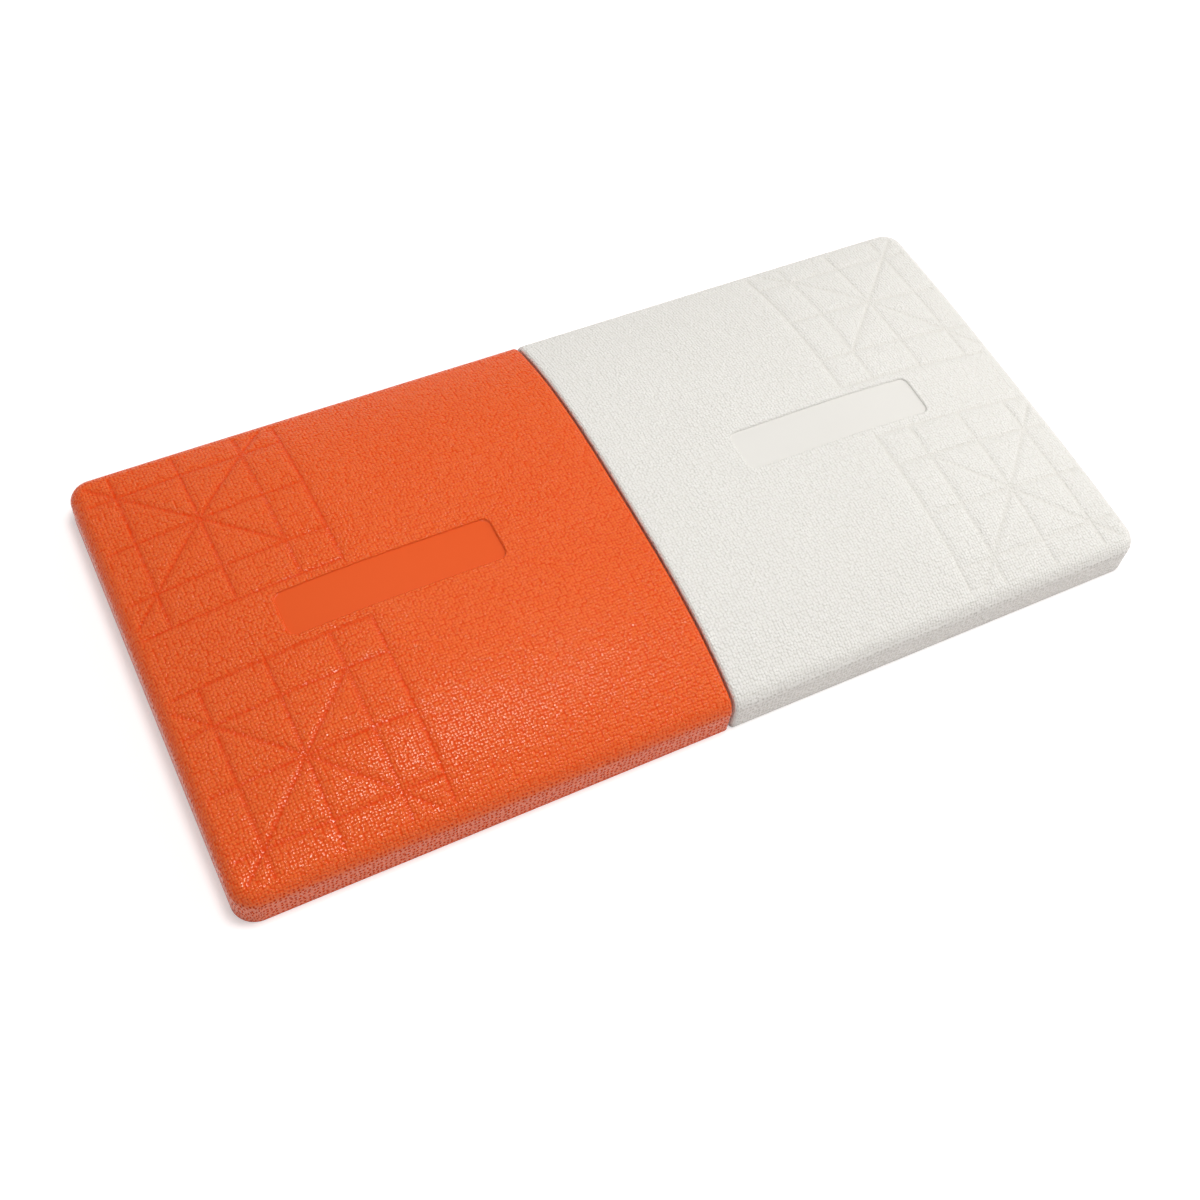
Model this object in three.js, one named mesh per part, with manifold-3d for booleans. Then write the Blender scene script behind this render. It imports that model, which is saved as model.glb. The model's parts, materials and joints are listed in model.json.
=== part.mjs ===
// A double first base: two crowned rubber bases side by side, one orange and one white.
// Both halves are the same moulding, and the orange one is turned half round about Z.
// Each holds a foam core over a steel base plate, which is screwed through the cover's lip to a
// clamp frame. The orange half pushes on to two pins that stand out of the white half's seam wall.
// Millimetres, +Z up: X runs along the pair, the seam is at x = 0 and the ground at z = 0.
import * as THREE from "three";
import { mergeVertices } from "three/addons/utils/BufferGeometryUtils.js";
import Module from "manifold-3d";

const wasm = await Module();
wasm.setup();

// The pair
const LENGTH = 762;
const WIDTH = 381;
const SEAM_GAP = 2;
const CLEARANCE = 0.3; // between pieces that rest on or pass through each other

// Outer form of a cover
const EDGE_HEIGHT = 32; // top surface along the outer edges, before they are rounded off
const CROWN = 27; // rise of the middle over the edges
const CROWN_POWER = 3; // the crown stays flat across the middle and bends down towards the edges
const CROWN_RUN = 200; // stretch in which the crown falls towards the outer end
const END_CROWN = 4.6; // rise that is left at the outer end
const EDGE_ROUND = 10; // radius between the top and the outer walls
const CORNER_RADIUS = 18; // outer corners in plan
const SEAM_ROUND = 3; // edge and corners of the seam wall

// Walls, rim and lip of a cover
const COVER_WALL = 6;
const RIM_WIDTH = 12; // foot that stands on the ground around the base plate
const FOOT_HEIGHT = 2.5; // ground to base plate
const LIP_THICKNESS = 4;
const LIP_REACH = 34; // outer wall to the free edge of the lip

// Tread lines pressed into the two outer corners of a cover
const TREAD_SIDE = 163; // square that the lines fill, measured from the outer edges
const TREAD_STEP = 49.5; // lines to either side of the square's middle
const GROOVE_WIDTH = 7;
const GROOVE_DEPTH = 1.6;

// Bare panel sunk into the middle of the top
const PANEL_LENGTH = 172;
const PANEL_WIDTH = 39;
const PANEL_CORNER = 7;
const PANEL_DEPTH = 1.3;

// Base plate, clamp frame and the screws between them
const PLATE_THICKNESS = 3;
const PLATE_MARGIN = 0.5; // rim to plate
const FRAME_THICKNESS = 2.5;
const FRAME_REACH = 32; // outer wall to the frame's inner edge
const FRAME_MARGIN = 1; // cover wall to frame
const SCREW_RADIUS = 2.5;
const SCREW_HEAD_RADIUS = 5;
const SCREW_TIP = 2.5; // stands out of the frame
const SCREW_INSET = 22; // wall to the screws along it
const SCREW_CORNER = 70; // next wall around the corner to the same screws

// Seat for a bolt-on ground stem
const SEAT_SIDE = 110;
const SEAT_THICKNESS = 4;
const STEM_BOLT_RADIUS = 5;
const STEM_BOLT_SPACING = 76.2;
const STEM_HOLE_FIT = 0.5; // bolt to the holes that it passes
const STEM_NUT_WIDTH = 17; // across flats
const STEM_NUT_HEIGHT = 8;

// Joining pins through the seam walls
const PIN_RADIUS = 5;
const PIN_REACH = 30; // stands out of the seam wall
const PIN_POINT = 2; // chamfer at its end
const PIN_HEIGHT = 24; // axis over the ground
const PIN_SPREAD = 80; // pins to either side of the middle
const PIN_THREAD_RADIUS = 4;
const PIN_THREAD_END = 2; // thread past the nut
const PIN_NUT_WIDTH = 13; // across flats
const PIN_NUT_HEIGHT = 6.5;
const PIN_FIT = 0.4; // pin to sleeve
const COLLAR_RADIUS = 7; // pin's collar and sleeve's barrel, which fill the holes in the seam walls
const COLLAR_FIT = 0.5; // collar or barrel to those holes
const SLEEVE_TAIL = 5; // sleeve past the end of the pin
const SLEEVE_FLANGE_RADIUS = 10;
const SLEEVE_FLANGE = 3;
const UPSTAND_MARGIN = 14; // frame's upstand around the pin axes

// Facets
const ROUND_STEPS = 5;
const INNER_RINGS = 8;
const COARSE_ROUND_STEPS = 2;
const COARSE_INNER_RINGS = 4;
const CORNER_STEPS = 5;
const SEAM_CORNER_STEPS = 2;
const SIDE_STEPS = 9;
const SEAM_STEPS = 14;
const PANEL_RINGS = 3;
const TURNED_SIDES = 8;
const GROOVE_STEP = 24;

// Places that several pieces share
const SEAM_FACE = SEAM_GAP / 2;
const OUTER_END = LENGTH / 2;
const HALF_WIDTH = WIDTH / 2;
const HALF_MIDDLE = (SEAM_FACE + OUTER_END) / 2;
const PLATE_TOP = FOOT_HEIGHT + PLATE_THICKNESS;
const LIP_BOTTOM = PLATE_TOP + CLEARANCE;
const LIP_TOP = LIP_BOTTOM + LIP_THICKNESS;
const FRAME_BOTTOM = LIP_TOP + CLEARANCE;
const FRAME_TOP = FRAME_BOTTOM + FRAME_THICKNESS;
const SEAT_BOTTOM = PLATE_TOP + CLEARANCE;
const SEAT_TOP = SEAT_BOTTOM + SEAT_THICKNESS;
const STEM_NUT_BOTTOM = SEAT_TOP + CLEARANCE;
const STEM_NUT_TOP = STEM_NUT_BOTTOM + STEM_NUT_HEIGHT;
const UPSTAND_FRONT = SEAM_FACE + COVER_WALL + FRAME_MARGIN;
const UPSTAND_BACK = UPSTAND_FRONT + FRAME_THICKNESS;
const UPSTAND_TOP = PIN_HEIGHT + UPSTAND_MARGIN;
const UPSTAND_REACH = PIN_SPREAD + UPSTAND_MARGIN;

const rubber = (color) => new THREE.MeshStandardMaterial({ color, roughness: 0.5, metalness: 0 });
const steel = (color, roughness) => new THREE.MeshStandardMaterial({ color, roughness, metalness: 1 });
const ORANGE_RUBBER = rubber(0xec6635);
const WHITE_RUBBER = rubber(0xebe8e2);
const FOAM = new THREE.MeshStandardMaterial({ color: 0xe3d9b8, roughness: 0.95, metalness: 0 });
const GALVANISED = steel(0xa9adb0, 0.5);
const ZINC = steel(0xc9cbcd, 0.35);
const NYLON = new THREE.MeshStandardMaterial({ color: 0x25262a, roughness: 0.6, metalness: 0 });

// Closed geometry as a solid that can be joined and cut, and back

function toSolid(geometry) {
  const bare = new THREE.BufferGeometry();
  bare.setAttribute("position", geometry.getAttribute("position"));
  bare.setIndex(geometry.index);
  const merged = mergeVertices(bare);
  const mesh = new wasm.Mesh({
    numProp: 3,
    vertProperties: merged.getAttribute("position").array,
    triVerts: new Uint32Array(merged.index.array),
  });
  return new wasm.Manifold(mesh);
}

function toGeometry(solid) {
  const { vertProperties, triVerts } = solid.getMesh();
  const geometry = new THREE.BufferGeometry();
  geometry.setAttribute("position", new THREE.BufferAttribute(vertProperties, 3));
  geometry.setIndex(new THREE.BufferAttribute(triVerts, 1));
  geometry.computeVertexNormals();
  return geometry;
}

function cut(geometry, tools) {
  const left = tools.reduce((solid, tool) => solid.subtract(toSolid(tool)), toSolid(geometry));
  return toGeometry(left);
}

const join = (one, other) => toGeometry(toSolid(one).add(toSolid(other)));

// Skin over a stack of rings, each anticlockwise when seen from the last one, with a fan at each end
function loft(rings) {
  const count = rings[0].length;
  const points = rings.flat();
  const faces = [];
  for (let level = 0; level + 1 < rings.length; level++) {
    for (let i = 0; i < count; i++) {
      const a = level * count + i;
      const b = level * count + ((i + 1) % count);
      faces.push(a, b, b + count, a, b + count, a + count);
    }
  }
  const middle = (ring) => ring.reduce((sum, p) => sum.add(p), new THREE.Vector3()).divideScalar(count);
  const first = points.push(middle(rings[0])) - 1;
  const last = points.push(middle(rings.at(-1))) - 1;
  const top = (rings.length - 1) * count;
  for (let i = 0; i < count; i++) {
    const next = (i + 1) % count;
    faces.push(first, next, i, last, top + i, top + next);
  }
  return new THREE.BufferGeometry().setFromPoints(points).setIndex(faces);
}

// Plan outlines

function addCorner(points, x, y, radius, start, steps) {
  for (let i = 0; i <= steps; i++) {
    const angle = start + (i / steps) * (Math.PI / 2);
    points.push(new THREE.Vector2(x + radius * Math.cos(angle), y + radius * Math.sin(angle)));
  }
}

function addSide(points, to, steps, spacing) {
  const from = points.at(-1);
  for (let i = 1; i < steps; i++) points.push(from.clone().lerp(to, spacing(i / steps)));
}

const evenly = (share) => share;
const closeAtEnds = (share) => (1 - Math.cos(Math.PI * share)) / 2;

// A half's outline, drawn in from its outer sides and its seam face, anticlockwise from the seam
function halfOutline(inset, seamInset, sideSteps, seamSteps) {
  const outer = Math.max(CORNER_RADIUS - inset, SEAM_ROUND);
  const left = SEAM_FACE + seamInset;
  const right = OUTER_END - inset;
  const side = HALF_WIDTH - inset;
  const points = [];
  addCorner(points, left + SEAM_ROUND, SEAM_ROUND - side, SEAM_ROUND, Math.PI, SEAM_CORNER_STEPS);
  addSide(points, new THREE.Vector2(right - outer, -side), sideSteps, evenly);
  addCorner(points, right - outer, outer - side, outer, -Math.PI / 2, CORNER_STEPS);
  addSide(points, new THREE.Vector2(right, side - outer), sideSteps, evenly);
  addCorner(points, right - outer, side - outer, outer, 0, CORNER_STEPS);
  addSide(points, new THREE.Vector2(left + SEAM_ROUND, side), sideSteps, evenly);
  addCorner(points, left + SEAM_ROUND, side - SEAM_ROUND, SEAM_ROUND, Math.PI / 2, SEAM_CORNER_STEPS);
  addSide(points, points[0], seamSteps, closeAtEnds);
  return points;
}

// The crowned top

function crown(x, y) {
  const across = 1 - Math.abs(y / HALF_WIDTH) ** CROWN_POWER;
  const run = Math.max(0, (x - (OUTER_END - CROWN_RUN)) / CROWN_RUN);
  return EDGE_HEIGHT + across * (CROWN - (CROWN - END_CROWN) * run ** 2);
}

// Distance of a point from the outer edges, which turn the corners on an arc
function outerDistance(x, y) {
  const end = OUTER_END - x;
  const side = HALF_WIDTH - Math.abs(y);
  if (end >= CORNER_RADIUS || side >= CORNER_RADIUS) return Math.min(end, side);
  return CORNER_RADIUS - Math.hypot(CORNER_RADIUS - end, CORNER_RADIUS - side);
}

// How far a rounded edge lies under the top at some distance from the wall
function roundDrop(distance, radius) {
  if (distance >= radius) return 0;
  return radius - Math.sqrt(Math.max(0, radius ** 2 - (radius - distance) ** 2));
}

// Height of the top, or of a surface that lies a given depth inside it
function topHeight(x, y, depth) {
  const edge = roundDrop(outerDistance(x, y) - depth, EDGE_ROUND - depth);
  const seam = roundDrop(x - SEAM_FACE - depth, SEAM_ROUND);
  return crown(x, y) - depth - edge - seam;
}

// Solid under that surface, from a flat floor up
function dome(depth, floor, roundSteps, innerRings) {
  const lift = (outline, height) => outline.map((p) => new THREE.Vector3(p.x, p.y, height(p.x, p.y)));
  const outlineAt = (inset, seamInset) =>
    halfOutline(depth + inset, depth + seamInset, SIDE_STEPS, SEAM_STEPS);
  const surface = (x, y) => topHeight(x, y, depth);
  const rings = [lift(outlineAt(0, 0), () => floor)];
  for (let step = 0; step <= roundSteps; step++) {
    const share = 1 - Math.cos((step / roundSteps) * (Math.PI / 2));
    rings.push(lift(outlineAt(share * (EDGE_ROUND - depth), share * SEAM_ROUND), surface));
  }
  const shoulder = rings.at(-1);
  const centre = new THREE.Vector2(HALF_MIDDLE, 0);
  for (let ring = 1; ring < innerRings; ring++) {
    const outline = shoulder.map((p) => new THREE.Vector2(p.x, p.y).lerp(centre, ring / innerRings));
    rings.push(lift(outline, surface));
  }
  return loft(rings);
}

// Cutters for the top

// V-shaped bar that follows the crown between two points of the plan
function grooveCutter(from, to) {
  const along = to.clone().sub(from);
  const steps = Math.ceil(along.length() / GROOVE_STEP);
  const across = new THREE.Vector2(-along.y, along.x).normalize().multiplyScalar(GROOVE_WIDTH);
  const rings = [];
  for (let i = 0; i <= steps; i++) {
    const p = from.clone().lerp(to, i / steps);
    const z = crown(p.x, p.y);
    rings.push([
      new THREE.Vector3(p.x + across.x, p.y + across.y, z + GROOVE_DEPTH),
      new THREE.Vector3(p.x - across.x, p.y - across.y, z + GROOVE_DEPTH),
      new THREE.Vector3(p.x, p.y, z - GROOVE_DEPTH),
    ]);
  }
  return loft(rings);
}

// Lines of one corner's tread: a grid that runs out over the edges, and both diagonals of its square
function treadCutters(side) {
  const at = (end, flank) => new THREE.Vector2(OUTER_END - end, side * (HALF_WIDTH - flank));
  const middle = TREAD_SIDE / 2;
  const cutters = [middle - TREAD_STEP, middle, middle + TREAD_STEP, TREAD_SIDE].flatMap((line) => [
    grooveCutter(at(line, 0), at(line, TREAD_SIDE)),
    grooveCutter(at(0, line), at(TREAD_SIDE, line)),
  ]);
  cutters.push(grooveCutter(at(0, 0), at(TREAD_SIDE, TREAD_SIDE)));
  cutters.push(grooveCutter(at(TREAD_SIDE, 0), at(0, TREAD_SIDE)));
  return cutters;
}

function panelCutter() {
  const outline = [];
  const x = PANEL_LENGTH / 2 - PANEL_CORNER;
  const y = PANEL_WIDTH / 2 - PANEL_CORNER;
  addCorner(outline, x, y, PANEL_CORNER, 0, CORNER_STEPS);
  addSide(outline, new THREE.Vector2(-x, y + PANEL_CORNER), SIDE_STEPS, evenly);
  addCorner(outline, -x, y, PANEL_CORNER, Math.PI / 2, CORNER_STEPS);
  addCorner(outline, -x, -y, PANEL_CORNER, Math.PI, CORNER_STEPS);
  addSide(outline, new THREE.Vector2(x, -y - PANEL_CORNER), SIDE_STEPS, evenly);
  addCorner(outline, x, -y, PANEL_CORNER, -Math.PI / 2, CORNER_STEPS);
  const floor = (x, y) => crown(x, y) - PANEL_DEPTH;
  const overTop = () => EDGE_HEIGHT + CROWN + PANEL_DEPTH;
  const ring = (share, height) =>
    outline.map((p) => {
      const along = HALF_MIDDLE + share * p.x;
      const across = share * p.y;
      return new THREE.Vector3(along, across, height(along, across));
    });
  const rings = [ring(1, overTop)];
  for (let step = PANEL_RINGS; step > 0; step--) rings.unshift(ring(step / PANEL_RINGS, floor));
  return loft(rings);
}

// Flat, turned and hexagonal stock

function slab(outline, bottom, top) {
  const shape = new THREE.Shape(outline);
  const geometry = new THREE.ExtrudeGeometry(shape, { depth: top - bottom, bevelEnabled: false });
  return geometry.translate(0, 0, bottom);
}

const halfSlab = (inset, bottom, top) => slab(halfOutline(inset, inset, 1, 1), bottom, top);

function block(x, y, z) {
  const size = [x, y, z].map(([low, high]) => high - low);
  const geometry = new THREE.BoxGeometry(...size);
  return geometry.translate(x[0] + size[0] / 2, y[0] + size[1] / 2, z[0] + size[2] / 2);
}

// Turned about Z from [radius, height] pairs, bottom to top
function turned(profile) {
  const points = profile.map(([radius, height]) => new THREE.Vector2(radius, height));
  return new THREE.LatheGeometry(points, TURNED_SIDES).rotateX(Math.PI / 2);
}

const rod = (radius, bottom, top) => turned([[0, bottom], [radius, bottom], [radius, top], [0, top]]);

const hexCornerRadius = (width) => width / 2 / Math.cos(Math.PI / 6);

function hexNut(width, boreRadius, height) {
  const outline = [];
  for (let i = 0; i < 6; i++) {
    const angle = (i * Math.PI) / 3;
    outline.push(new THREE.Vector2(Math.cos(angle), Math.sin(angle)).multiplyScalar(hexCornerRadius(width)));
  }
  return cut(slab(outline, 0, height), [rod(boreRadius, -height, 2 * height)]);
}

// Places of the repeated pieces in one half

const BOTH_SIDES = [-1, 1];

const SCREW_PLACES = BOTH_SIDES.flatMap((side) => [
  [SEAM_FACE + SCREW_INSET, side * (HALF_WIDTH - SCREW_CORNER)],
  [OUTER_END - SCREW_INSET, side * (HALF_WIDTH - SCREW_CORNER)],
  [SEAM_FACE + SCREW_CORNER, side * (HALF_WIDTH - SCREW_INSET)],
  [OUTER_END - SCREW_CORNER, side * (HALF_WIDTH - SCREW_INSET)],
]);

const STEM_PLACES = BOTH_SIDES.flatMap((side) =>
  BOTH_SIDES.map((end) => [HALF_MIDDLE + (end * STEM_BOLT_SPACING) / 2, (side * STEM_BOLT_SPACING) / 2]),
);

const PIN_PLACES = BOTH_SIDES.map((side) => side * PIN_SPREAD);

const atEach = (places, tool) => places.map(([x, y]) => tool.clone().translate(x, y, 0));

// Pieces of one half

// Countersunk screw with its point up. Grown by a clearance, with a deeper countersink, it is its own hole
function plateScrew(grow) {
  const sink = 2 * grow;
  const head = FOOT_HEIGHT + CLEARANCE;
  const neck = head + SCREW_HEAD_RADIUS - SCREW_RADIUS;
  const tip = FRAME_TOP + SCREW_TIP + grow;
  const shank = SCREW_RADIUS + grow;
  return turned([
    [0, head - sink],
    [SCREW_HEAD_RADIUS + grow + sink, head - sink],
    [shank, neck],
    [shank, tip - SCREW_RADIUS],
    [shank / 2, tip],
    [0, tip],
  ]);
}

const screwHoles = () => atEach(SCREW_PLACES, plateScrew(CLEARANCE));

const stemHoles = () => atEach(STEM_PLACES, rod(STEM_BOLT_RADIUS + STEM_HOLE_FIT, 0, STEM_NUT_TOP));

// Holes at the pins' places, from outside the seam face to some depth behind it
function pinHoles(radius, depth) {
  const hole = rod(radius, -SEAM_GAP, depth).rotateY(Math.PI / 2);
  return PIN_PLACES.map((y) => hole.clone().translate(SEAM_FACE, y, PIN_HEIGHT));
}

function cover() {
  const hollow = dome(COVER_WALL, LIP_TOP, COARSE_ROUND_STEPS, COARSE_INNER_RINGS);
  const mouth = halfSlab(LIP_REACH, -FOOT_HEIGHT, LIP_TOP + LIP_THICKNESS);
  const plateRecess = halfSlab(RIM_WIDTH, -FOOT_HEIGHT, LIP_BOTTOM);
  return cut(dome(0, 0, ROUND_STEPS, INNER_RINGS), [
    hollow,
    mouth,
    plateRecess,
    ...BOTH_SIDES.flatMap(treadCutters),
    panelCutter(),
    ...screwHoles(),
    ...pinHoles(COLLAR_RADIUS + COLLAR_FIT, UPSTAND_BACK),
  ]);
}

function basePlate() {
  const plate = halfSlab(RIM_WIDTH + PLATE_MARGIN, FOOT_HEIGHT, PLATE_TOP);
  return cut(plate, [...screwHoles(), ...stemHoles()]);
}

// Flat ring over the lip, with an upstand behind the seam wall that carries the pins or their sleeves
function clampFrame(pinHoleRadius) {
  const ring = halfSlab(COVER_WALL + FRAME_MARGIN, FRAME_BOTTOM, FRAME_TOP);
  const upstand = block(
    [UPSTAND_FRONT, UPSTAND_BACK],
    [-UPSTAND_REACH, UPSTAND_REACH],
    [FRAME_BOTTOM, UPSTAND_TOP],
  );
  const opening = halfSlab(FRAME_REACH, 0, 2 * FRAME_TOP);
  return cut(join(ring, upstand), [opening, ...screwHoles(), ...pinHoles(pinHoleRadius, 2 * UPSTAND_BACK)]);
}

function stemSeat() {
  const reach = SEAT_SIDE / 2;
  const plate = block([HALF_MIDDLE - reach, HALF_MIDDLE + reach], [-reach, reach], [SEAT_BOTTOM, SEAT_TOP]);
  return cut(plate, stemHoles());
}

// Filling of the cover, with a boss down to the base plate and room for all that stands up in it
function foamCore() {
  const floor = FRAME_TOP + CLEARANCE;
  const filling = dome(COVER_WALL + CLEARANCE, floor, COARSE_ROUND_STEPS, COARSE_INNER_RINGS);
  const bossInset = Math.max(LIP_REACH, FRAME_REACH) + FRAME_MARGIN;
  const boss = halfSlab(bossInset, PLATE_TOP + CLEARANCE, floor + CLEARANCE);
  const seat = SEAT_SIDE / 2 + CLEARANCE;
  const seatRoom = block([HALF_MIDDLE - seat, HALF_MIDDLE + seat], [-seat, seat], [0, SEAT_TOP + CLEARANCE]);
  const nutRoom = rod(hexCornerRadius(STEM_NUT_WIDTH) + FRAME_MARGIN, 0, STEM_NUT_TOP + CLEARANCE);
  const upstandRoom = block(
    [SEAM_FACE, UPSTAND_BACK + CLEARANCE],
    [-UPSTAND_REACH - CLEARANCE, UPSTAND_REACH + CLEARANCE],
    [0, UPSTAND_TOP + CLEARANCE],
  );
  return cut(join(filling, boss), [
    seatRoom,
    upstandRoom,
    ...atEach(STEM_PLACES, nutRoom),
    ...screwHoles(),
    ...pinHoles(SLEEVE_FLANGE_RADIUS + FRAME_MARGIN, PIN_REACH + SLEEVE_TAIL + CLEARANCE),
  ]);
}

// Pieces of the joint between the halves, turned about Z with the seam face at height 0

function joiningPin() {
  const collar = UPSTAND_FRONT - CLEARANCE - SEAM_FACE;
  const thread = UPSTAND_BACK + CLEARANCE + PIN_NUT_HEIGHT + PIN_THREAD_END - SEAM_FACE;
  return turned([
    [0, -PIN_REACH],
    [PIN_RADIUS - PIN_POINT, -PIN_REACH],
    [PIN_RADIUS, PIN_POINT - PIN_REACH],
    [PIN_RADIUS, 0],
    [COLLAR_RADIUS, 0],
    [COLLAR_RADIUS, collar],
    [PIN_THREAD_RADIUS, collar],
    [PIN_THREAD_RADIUS, thread],
    [0, thread],
  ]);
}

function pinSleeve() {
  const flange = UPSTAND_BACK + CLEARANCE - SEAM_FACE;
  const length = PIN_REACH + SLEEVE_TAIL;
  const barrel = turned([
    [0, 0],
    [COLLAR_RADIUS, 0],
    [COLLAR_RADIUS, flange],
    [SLEEVE_FLANGE_RADIUS, flange],
    [SLEEVE_FLANGE_RADIUS, flange + SLEEVE_FLANGE],
    [COLLAR_RADIUS, flange + SLEEVE_FLANGE],
    [COLLAR_RADIUS, length],
    [0, length],
  ]);
  return cut(barrel, [rod(PIN_RADIUS + PIN_FIT, -length, 2 * length)]);
}

// Assembly

function addPiece(group, name, geometry, material) {
  const mesh = new THREE.Mesh(geometry, material);
  mesh.name = name;
  group.add(mesh);
  return mesh;
}

function addAtPin(group, name, geometry, material, x, y) {
  const mesh = addPiece(group, name, geometry, material);
  mesh.rotation.y = Math.PI / 2;
  mesh.position.set(x, y, PIN_HEIGHT);
}

const COVER = cover();
const FOAM_CORE = foamCore();
const BASE_PLATE = basePlate();
const STEM_SEAT = stemSeat();
const STEM_NUT = hexNut(STEM_NUT_WIDTH, STEM_BOLT_RADIUS, STEM_NUT_HEIGHT);
const PLATE_SCREW = plateScrew(0);

function baseHalf(colour, coverMaterial, pinHoleRadius) {
  const half = new THREE.Group();
  addPiece(half, `${colour}_cover`, COVER, coverMaterial);
  addPiece(half, `${colour}_foam_core`, FOAM_CORE, FOAM);
  addPiece(half, `${colour}_base_plate`, BASE_PLATE, GALVANISED);
  addPiece(half, `${colour}_clamp_frame`, clampFrame(pinHoleRadius), GALVANISED);
  addPiece(half, `${colour}_stem_seat`, STEM_SEAT, GALVANISED);
  STEM_PLACES.forEach(([x, y], i) => {
    addPiece(half, `${colour}_stem_nut_${i + 1}`, STEM_NUT, ZINC).position.set(x, y, STEM_NUT_BOTTOM);
  });
  SCREW_PLACES.forEach(([x, y], i) => {
    addPiece(half, `${colour}_plate_screw_${i + 1}`, PLATE_SCREW, ZINC).position.set(x, y, 0);
  });
  return half;
}

const PIN = joiningPin();
const PIN_NUT = hexNut(PIN_NUT_WIDTH, PIN_THREAD_RADIUS + CLEARANCE, PIN_NUT_HEIGHT);
const SLEEVE = pinSleeve();

const whiteHalf = baseHalf("white", WHITE_RUBBER, PIN_THREAD_RADIUS + CLEARANCE);
const orangeHalf = baseHalf("orange", ORANGE_RUBBER, COLLAR_RADIUS + COLLAR_FIT);
PIN_PLACES.forEach((y, i) => {
  addAtPin(whiteHalf, `white_joining_pin_${i + 1}`, PIN, ZINC, SEAM_FACE, y);
  addAtPin(whiteHalf, `white_pin_nut_${i + 1}`, PIN_NUT, ZINC, UPSTAND_BACK + CLEARANCE, y);
  addAtPin(orangeHalf, `orange_pin_sleeve_${i + 1}`, SLEEVE, NYLON, SEAM_FACE, y);
});
orangeHalf.rotation.z = Math.PI;

const doubleBase = new THREE.Group();
doubleBase.add(whiteHalf, orangeHalf);

export default doubleBase;
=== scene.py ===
"""A double first base: an orange and a white rubber base side by side, dressed over its packed frame.

The white half is modelled from the seam at x = 0 towards +X, and the orange half is the same half turned
round. Metres, +Z up, ground at z = 0.
"""
import json
import math
from contextlib import contextmanager

import bmesh
import bpy
import numpy as np
from bpy.props import FloatProperty, FloatVectorProperty, PointerProperty
from bpy.types import Operator, Panel, PropertyGroup
from mathutils import Matrix, Vector

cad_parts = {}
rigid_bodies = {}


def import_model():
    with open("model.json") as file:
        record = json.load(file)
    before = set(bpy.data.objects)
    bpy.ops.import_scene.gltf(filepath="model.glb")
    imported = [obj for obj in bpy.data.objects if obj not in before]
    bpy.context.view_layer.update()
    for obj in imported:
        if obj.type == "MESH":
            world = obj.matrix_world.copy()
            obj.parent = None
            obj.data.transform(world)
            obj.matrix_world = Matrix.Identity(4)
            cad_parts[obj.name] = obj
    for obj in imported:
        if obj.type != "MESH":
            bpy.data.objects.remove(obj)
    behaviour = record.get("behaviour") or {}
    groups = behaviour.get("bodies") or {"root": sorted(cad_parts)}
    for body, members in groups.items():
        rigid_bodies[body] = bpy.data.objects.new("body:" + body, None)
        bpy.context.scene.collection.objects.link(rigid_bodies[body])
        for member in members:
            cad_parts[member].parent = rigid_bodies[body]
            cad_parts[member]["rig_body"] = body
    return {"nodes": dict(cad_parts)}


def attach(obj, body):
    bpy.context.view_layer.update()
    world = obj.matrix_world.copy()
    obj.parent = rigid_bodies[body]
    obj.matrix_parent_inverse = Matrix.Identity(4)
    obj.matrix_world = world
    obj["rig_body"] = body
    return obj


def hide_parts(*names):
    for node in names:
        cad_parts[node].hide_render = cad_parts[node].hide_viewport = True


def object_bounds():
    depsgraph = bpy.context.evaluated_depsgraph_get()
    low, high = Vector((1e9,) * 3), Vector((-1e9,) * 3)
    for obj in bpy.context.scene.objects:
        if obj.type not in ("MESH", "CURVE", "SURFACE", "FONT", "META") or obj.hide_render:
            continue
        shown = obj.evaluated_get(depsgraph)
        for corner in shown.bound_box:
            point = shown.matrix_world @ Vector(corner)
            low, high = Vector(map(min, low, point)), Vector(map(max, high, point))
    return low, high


bl_info = {
    "name": "Double First Base",
    "version": (1, 0, 0),
    "blender": (4, 5, 0),
    "location": "3D View > Sidebar > Base",
    "description": "Builds an orange and white double first base over its packed frame",
    "category": "Add Mesh",
}

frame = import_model()
CAD_LOW, CAD_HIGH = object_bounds()

MM = 0.001
HALF_TURN = Matrix.Rotation(math.pi, 4, "Z")
PIN_AXIS = Matrix.Rotation(math.pi / 2, 4, "Y")
BOTH_SIDES = (-1, 1)
SURFACE_MAP = "Surface"
BARE_MASK = "bare"
WALL_MASK = "wall"
# Vertex mask for the painted shade along the tread lines
LINE_SHADE_MASK = "line_shade"

# Fits and small shapes

SEATING_GAP = 0.3 * MM
FOAM_GAP = 0.4 * MM
BOSS_MARGIN = 2 * MM
BORE_OVERRUN = 4 * MM
NUT_ROOM = 0.62
EDGE_SOFTENING = 0.3 * MM
NUT_SOFTENING = 0.5 * MM
SINK_LAND = 0.2 * MM
HEAD_RIM = 0.2 * MM
HEAD_CHAMFER = 0.3 * MM
RECESS_ARM = 0.55
THREAD_PITCH = 1.25 * MM
THREAD_DEPTH = 0.6 * MM

# Mesh spacing and counts, and rows over the shoulder, the edge round and the wall of a skin

COVER_ROWS = (7, 10, 6)
HOLLOW_ROWS = (1, 4, 2)
FOAM_ROWS = (1, 6, 3)
HOLLOW_STEP = 12 * MM
FOAM_STEP = 6 * MM
ROUND_SIDES = 48
CORNER_SEGMENTS = 8
SOFTENING_SEGMENTS = 2
SMOOTH_ANGLE = math.radians(40)
SHARP_CORNER = math.radians(80)
SAME_PLACE = 0.01 * MM
NEVER_ZERO = 1e-6

# Upward part of the normal where a wall's finish begins and where it is full

WALL_BEGINS = 0.65
WALL_FULL = 0.3


# Sizes and colours that a user may change

def length(label, about, millimetres):
    return FloatProperty(
        name=label, description=about, default=millimetres * MM, unit="LENGTH", precision=5
    )


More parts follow.
